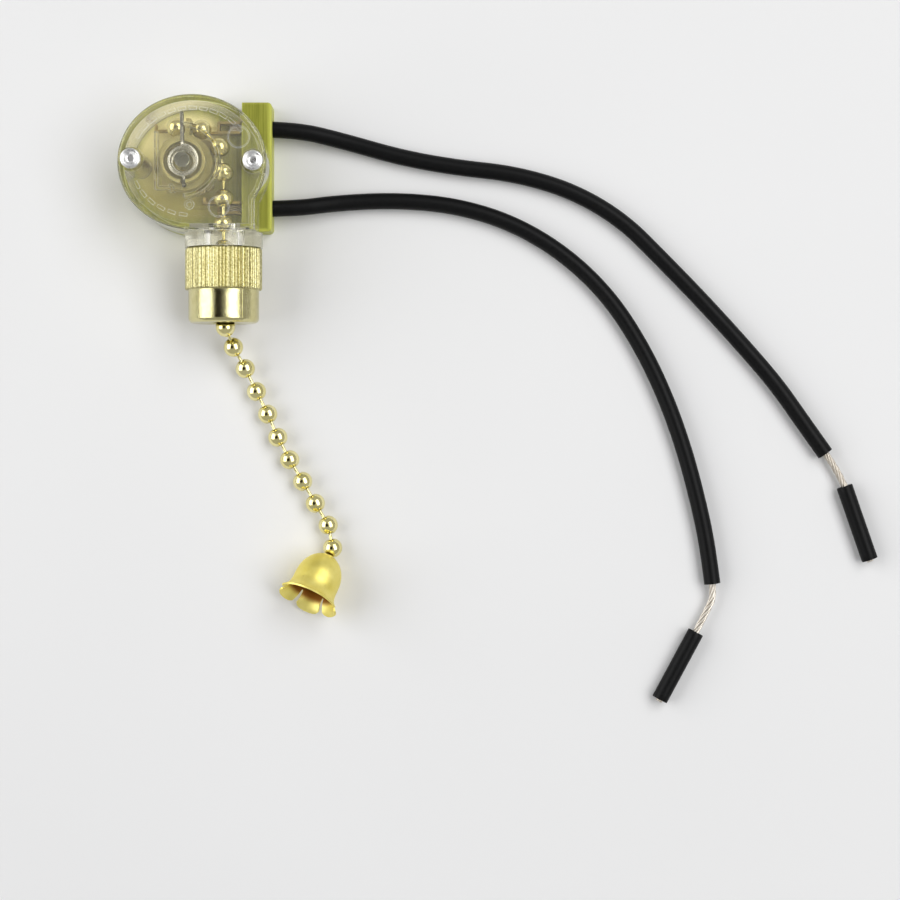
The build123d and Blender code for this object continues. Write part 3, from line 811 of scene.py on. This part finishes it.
def link_shape(start, end, only_start=False):
    """Thin wire with a rounded head inside each bead."""
    length = (end - start).length
    head = [
        (0, HEAD_IN - 0.05),
        (HEAD_R * 0.6, HEAD_IN),
        (HEAD_R, HEAD_IN + 0.1),
        (HEAD_R * 0.92, HEAD_OUT - 0.08),
        (HEAD_R * 0.6, HEAD_OUT),
        (WIRE_R * 1.25, HEAD_OUT + 0.08),
        (WIRE_R, HEAD_OUT + 0.25),
    ]
    if only_start:
        stop = length - BEAD_R - 0.12
        profile = head + [(WIRE_R, stop - 0.1), (WIRE_R * 0.6, stop), (0, stop)]
    else:
        profile = head + [(WIRE_R * 0.96, length / 2)]
        profile += [(radius, length - height) for radius, height in reversed(head)]
    return moved(turned(profile, 20), facing(start, end - start))


def inner_places():
    """Bead centres from the drum to the nut's hole."""
    places = []
    for index in range(INNER_COUNT):
        places.append(Vector((NECK_X, FIRST_INNER_Y - index * PITCH, NECK_Z)))
    return places + [EXIT_BEAD]


def drum_places():
    """Bead centres on the drum."""
    places = []
    for index in range(DRUM_BEADS):
        angle = ((index + 1) * PITCH + FIRST_INNER_Y) / NECK_X
        places.append(Vector((NECK_X * math.cos(angle), NECK_X * math.sin(angle), NECK_Z)))
    return places


def outer_places():
    """Bead centres outside the nut."""
    places = [EXIT_BEAD]
    for heading, rise, spacing in OUTER_LINKS:
        level = math.sqrt(spacing**2 - rise**2)
        turn = math.radians(heading)
        step = Vector((level * math.sin(turn), -level * math.cos(turn), rise))
        places.append(places[-1] + step)
    return places


def bell_axis():
    """Unit vector from the bell's crown to its mouth."""
    flat, heading = math.cos(math.radians(BELL_TILT)), math.radians(BELL_HEADING)
    return Vector(
        (flat * math.sin(heading), -flat * math.cos(heading), math.sin(math.radians(BELL_TILT)))
    )


def string_of(places, before, after):
    """Beads at places, each opened towards its neighbours."""
    shapes = []
    for index, place in enumerate(places):
        previous = places[index - 1] if index else before
        following = places[index + 1] if index + 1 < len(places) else after
        towards = [other - place for other in (previous, following) if other is not None]
        shapes.append(bead_shape(place, towards))
    return merged(shapes)


def add_chain(brass):
    """Every bead and link."""
    inner, wrapped, outer = inner_places(), drum_places(), outer_places()
    make("inner_bead_run", string_of(inner, wrapped[0], outer[1]), brass,
         "chain", ["inner_beads"])
    links = [link_shape(inner[0], wrapped[0], only_start=True)]
    links += [link_shape(start, end) for start, end in zip(inner, inner[1:])]
    make("inner_link_run", merged(links), brass, "chain", ["inner_links"])
    make("wrapped_beads", string_of(wrapped, inner[0], None), brass,
         "drum", ["drum_beads"])
    links = [link_shape(start, end) for start, end in zip(wrapped, wrapped[1:])]
    make("wrapped_links", merged(links), brass, "drum", ["drum_links"])
    axis = bell_axis()
    crown = outer[-1] + axis * BELL_GAP
    last = crown + axis * BELL_END_BEAD
    route = outer + [last]
    for index in range(1, len(outer)):
        here, label, body = route[index], f"{index + 1:02d}", f"link_{index + 1:02d}"
        shape = bead_shape(here, [route[index - 1] - here, route[index + 1] - here])
        make("bead_" + label, shape, brass, body, ["chain_bead_" + label])
        shape = link_shape(route[index - 1], here)
        make("wire_" + label, shape, brass, body, ["chain_link_" + label])
    make("last_bead", bead_shape(last, [outer[-1] - last]), brass,
         "bell", ["bell_end_bead"])
    make("last_wire", link_shape(outer[-1], last), brass,
         "bell", ["bell_end_link"])
    return crown, axis


# ---------------------------------------------------------------- bell

BELL_WALL, SKIRT_S, MOUTH_S = 0.28, 6.0, 8.4
PETALS, SLOT_FIRST, SLOT_ROOT, SLOT_TIP = 6, 5.0, 0.3, 1.1
SHUT_SLOTS, SHUT_WIDTH = (1, 2), 0.01
TOP_PETALS, TOP_LENGTH = 3, 0.82
CORNER_DROP, LIP_DROP = 0.30, 0.05
# Where the painted shade inside the bell ends, and how far it fades.
INTERIOR_SHADE_END, INTERIOR_SHADE_FADE = 7.4, 0.8
BELL_LINE = [
    (1.0, 0.05, 0), (1.75, 0.42, 0), (2.6, 1.15, 0), (3.35, 2.3, 0), (3.75, 3.6, 0),
    (3.84, 4.9, 0), (3.86, 6.0, 0), (4.12, 7.05, 0), (4.75, 7.95, 0), (5.4, 8.38, 0),
]


def bell_layer(inside, columns):
    """The bell's outer or inner surface as rows of points; the slots on top are pressed shut."""
    wall = spline(BELL_LINE, 5)
    last = len(wall) - 1
    skirt = next(index for index, point in enumerate(wall) if point.y >= SKIRT_S - 0.05)
    sides = []
    for index in range(last + 1):
        along = (wall[min(index + 1, last)] - wall[max(index - 1, 0)]).normalized()
        sides.append(Vector((-along.y, along.x, 0)) * BELL_WALL * inside)
    rows = []
    for row in range(last + 1):
        points = []
        for petal in range(PETALS):
            for column in range(columns):
                u = (column + 0.5) / columns * 2 - 1
                if row > skirt:
                    u *= columns / (columns - 1)
                shut = petal + (u > 0) in SHUT_SLOTS
                share = max(0.0, (row - skirt) / (last - skirt))
                reach = 1 - (LIP_DROP if shut else CORNER_DROP) * abs(u) ** 3.2
                if petal < TOP_PETALS:
                    reach *= TOP_LENGTH
                here = row if row <= skirt else skirt + (last - skirt) * share * reach
                low = min(int(here), last - 1)
                point = (wall[low] + sides[low]).lerp(wall[low + 1] + sides[low + 1], here - low)
                half = math.radians(180 / PETALS)
                if row > skirt:
                    deep = (point.y - SKIRT_S) / (MOUTH_S + 1 - SKIRT_S)
                    width = SLOT_ROOT + (SLOT_TIP - SLOT_ROOT) * max(0.0, deep)
                    width = SHUT_WIDTH if shut else width
                    half -= math.asin(width / 2 / point.x)
                angle = math.radians(SLOT_FIRST + 360 / PETALS * (petal + 0.5)) + u * half
                points.append(
                    Vector((point.x * math.cos(angle), point.x * math.sin(angle), point.y))
                )
        rows.append(points)
    return rows, skirt


def add_bell(crown, axis, gold):
    """Stamped bell: dome, skirt and rounded petals that flare out."""
    columns = 24
    outer, skirt = bell_layer(0, columns)
    inner, skirt = bell_layer(1, columns)
    around, rows = PETALS * columns, len(outer)
    points = [point for layer in (outer, inner) for row in layer for point in row]

    def at(layer, row, index):
        """A point's number."""
        return (layer * rows + row) * around + index % around

    faces = []
    for index in range(around):
        slot_here = index % columns == columns - 1
        after = index + 1
        for layer in (0, 1):
            for row in range(skirt if slot_here else rows - 1):
                faces.append([at(layer, row, index), at(layer, row, after),
                              at(layer, row + 1, after), at(layer, row + 1, index)])
        for row in (0, skirt if slot_here else rows - 1):
            faces.append([at(0, row, index), at(0, row, after),
                          at(1, row, after), at(1, row, index)])
        if slot_here:
            for side in (index, after):
                for row in range(skirt, rows - 1):
                    faces.append([at(0, row, side), at(0, row + 1, side),
                                  at(1, row + 1, side), at(1, row, side)])
    level = Vector((-axis.y, axis.x, 0)).normalized()
    upright = axis.cross(level)
    matrix = Matrix((level, upright, axis)).transposed().to_4x4()
    matrix.translation = crown
    piece = make("bell_shell", moved((points, faces), matrix), gold, "bell",
                 ["pull_bell"], sharp=60)
    # Painted shade: each inner point's share of the orange, full deep inside and fading out at the lip.
    depth = piece.data.attributes.new("inside", "FLOAT", "POINT")
    for index, point in enumerate(points):
        if index >= rows * around:
            depth.data[index].value = max(0.0, min(1.0, (INTERIOR_SHADE_END - point.z) / INTERIOR_SHADE_FADE))


# ---------------------------------------------------------------- nut

NUT_START, NUT_STEP, NUT_END = 13.85, 20.65, 26.05
KNURL_R, KNURL_DEPTH, NUT_R = 6.32, 0.3, 5.77
NUT_HOLE_R, NUT_WALL = 2.3, 0.9
COLLAR_END = 13.75
THREAD_PITCH, THREAD_TURNS, THREAD_ROOT_R, THREAD_CREST_R = 0.794, 14, 4.40, 4.84
KNURL_RIDGES, SEAM_ANGLE = 58, 53.5


def add_nut(brass):
    """Rolled brass nut with an uneven straight knurl, a seam and a smooth rounded nose."""
    draw = random.Random(7)
    ridges = KNURL_RIDGES
    widths = [draw.uniform(0.7, 1.35) for _ in range(ridges)]
    total = sum(widths)
    starts, place = [], 0.0
    for width in widths:
        starts.append(place / total * TURN)
        place += width
    starts.append(TURN)
    tops = [draw.uniform(0.55, 1.0) for _ in range(ridges)]
    flats = [draw.uniform(1.5, 4.0) for _ in range(ridges)]
    seam = math.radians(SEAM_ANGLE)

    def knurl(angle):
        """Share of the knurl's full height at an angle."""
        index = next(i for i in range(ridges) if angle < starts[i + 1] or i == ridges - 1)
        share = (angle - starts[index]) / (starts[index + 1] - starts[index])
        return tops[index] * (1 - abs(2 * share - 1) ** flats[index])

    count = 928
    heights = [knurl(TURN * index / count) for index in range(count)]

    def radius_at(radius, height, angle):
        """The knurl's ridges and the seam's groove."""
        away = abs((angle - seam + math.pi) % TURN - math.pi) * radius
        groove = 0.09 * max(0.0, 1 - away / 0.09)
        if height < NUT_STEP and radius > NUT_R + 0.05:
            index = round(angle / TURN * count) % count
            radius -= KNURL_DEPTH * (1 - heights[index]) * min(1, (radius - NUT_R) / 0.4)
        return radius - groove if radius > NUT_R - 0.2 else radius

    shape = turned(nut_profile(), count, closed=True, radius_at=radius_at)
    matrix = Matrix.Translation((NECK_X, 0, NECK_Z)) @ Matrix.Rotation(math.pi / 2, 4, "X")
    make("brass_nut", moved(shape, matrix), brass, "nut",
         ["knurled_nut"], sharp=48)


def nut_profile():
    """The nut's closed outline as (radius, distance along the neck): knurl, nose, hole and thread."""
    profile = [(5.0, NUT_START + 0.02), (5.9, NUT_START), (KNURL_R - 0.16, NUT_START + 0.02)]
    profile += [(KNURL_R - 0.04, NUT_START + 0.12), (KNURL_R, NUT_START + 0.3)]
    for index in range(1, 8):
        profile.append((KNURL_R, NUT_START + 0.3 + (NUT_STEP - NUT_START - 0.6) * index / 8))
    profile += [(KNURL_R, NUT_STEP - 0.3), (KNURL_R - 0.05, NUT_STEP - 0.1)]
    profile += [(KNURL_R - 0.2, NUT_STEP - 0.01), (NUT_R + 0.02, NUT_STEP)]
    profile += [(NUT_R, NUT_STEP + 0.06)]
    for index in range(1, 6):
        profile.append((NUT_R, NUT_STEP + 0.06 + (NUT_END - 0.8 - NUT_STEP) * index / 6))
    profile += arc(NUT_R - 0.8, NUT_END - 0.8, 0.8, 0, 90, 8)
    profile += [(3.6, NUT_END), (NUT_HOLE_R + 0.35, NUT_END - 0.02)]
    profile += [(NUT_HOLE_R + 0.08, NUT_END - 0.1), (NUT_HOLE_R, NUT_END - 0.3)]
    profile += [(NUT_HOLE_R, NUT_END - NUT_WALL + 0.02), (4.4, NUT_END - NUT_WALL)]
    profile += [(THREAD_ROOT_R, COLLAR_END + THREAD_TURNS * THREAD_PITCH + 0.15)]
    for turn in reversed(range(THREAD_TURNS)):
        start = COLLAR_END + (turn + 0.25) * THREAD_PITCH
        steps = ((0.9, THREAD_ROOT_R), (0.5, THREAD_CREST_R), (0.4, THREAD_CREST_R))
        for share, radius in steps + ((0.0, THREAD_ROOT_R),):
            level = start + share * THREAD_PITCH
            if level > NUT_START + 0.05 and level < profile[-1][1]:
                profile.append((radius, level))
    return profile + [(4.7, NUT_START + 0.1)]


# ---------------------------------------------------------------- rivets and spring

RIVETS = [(-8.1, 0.0), (11.55, -0.3)]
TOP_Z = 13.6
SPRING_WIRE, SPRING_R, SPRING_Z = 0.32, (1.7, 2.45), (9.3, 11.4)
SPRING_TURNS, SPRING_STEPS = 2.5, 168


def add_rivets(steel):
    """Tubular rivets: flat head in the back, smooth rolled ring with a dimple in front."""
    profile = [(0, 0.15), (1.55, 0.15), (1.72, 0.22), (1.75, 0.35), (1.75, 0.6), (1.68, 0.73)]
    profile += [(1.2, 0.76), (1.15, 0.85), (1.15, TOP_Z - 0.2), (1.2, TOP_Z + 0.03)]
    profile += arc(1.32, TOP_Z + 0.32, 0.35, -62, 180, 18)
    profile += [(0.92, TOP_Z + 0.16), (0.82, TOP_Z + 0.02), (0.62, TOP_Z - 0.08)]
    profile += [(0.35, TOP_Z - 0.10), (0, TOP_Z - 0.04)]
    shapes = []
    for x, y in RIVETS:
        shapes.append(moved(turned(profile, 56), Matrix.Translation((x, y, 0))))
    make("rolled_rivets", merged(shapes), steel, "root", ["rivets"], sharp=50)


def add_spring(steel):
    """Torsion spring, whose lower leg turns with the drum and upper leg is held by the housing; built as
    one piece that rides on no body.
    """
    low, high = SPRING_Z
    coil = []
    for index in range(SPRING_STEPS + 1):
        share = index / SPRING_STEPS
        rise = max(0.0, min(1.0, (share - 0.08) / 0.84))
        angle = -math.pi / 2 + SPRING_TURNS * TURN * share
        radius = SPRING_R[0] + (SPRING_R[1] - SPRING_R[0]) * share
        level = low + (high - low) * rise
        coil.append(Vector((radius * math.cos(angle), radius * math.sin(angle), level)))
    leg = split_line((0, -4.0, low), (0, -1.95, low), 0.4)
    long_leg = split_line(coil[-1] + Vector((0, 0.3, 0)), (-0.1, 7.7, high), 0.5)
    path = leg + coil[1:] + long_leg
    piece = make("return_coil", tube(path, SPRING_WIRE, 16), steel, None,
                 ["return_spring"])
    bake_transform(piece)


# ---------------------------------------------------------------- scene

def main():
    """Camera and cords first, then every other piece."""
    add_camera()
    add_leads(black_pvc(), metal("tinned_copper", (0.52, 0.47, 0.40), (0.78, 0.74, 0.67), 0.4))
    chain = metal("chain_brass", (0.78, 0.69, 0.27), (0.92, 0.85, 0.46), 0.14, 4.0, 0.002)
    crown, axis = add_chain(chain)
    add_bell(crown, axis, bell_gold())
    add_nut(nut_brass())
    add_rivets(metal("rivet_steel", (0.74, 0.74, 0.73), (0.88, 0.88, 0.87), 0.27, 5.0, 0.003, mottle=0.2))
    add_spring(spring_wire())
    paint("clear_housing", clear_plastic())
    paint("base_block", green_plastic())
    paint("chain_drum", plastic("natural_nylon", (0.34, 0.295, 0.12), (0.48, 0.43, 0.21), 0.42, 0.35))
    paint("contact_rotor", plastic("brown_plastic", (0.36, 0.29, 0.13), (0.52, 0.45, 0.24), 0.4))
    contact = metal("contact_brass", (0.36, 0.27, 0.10), (0.55, 0.44, 0.20), 0.38, 5.0, 0.006)
    for node in ("contact_bridge", "terminal_upper", "terminal_lower", "detent_leaf"):
        paint(node, contact)
    add_stage()
    bpy.context.scene.view_settings.view_transform = "Standard"


main()
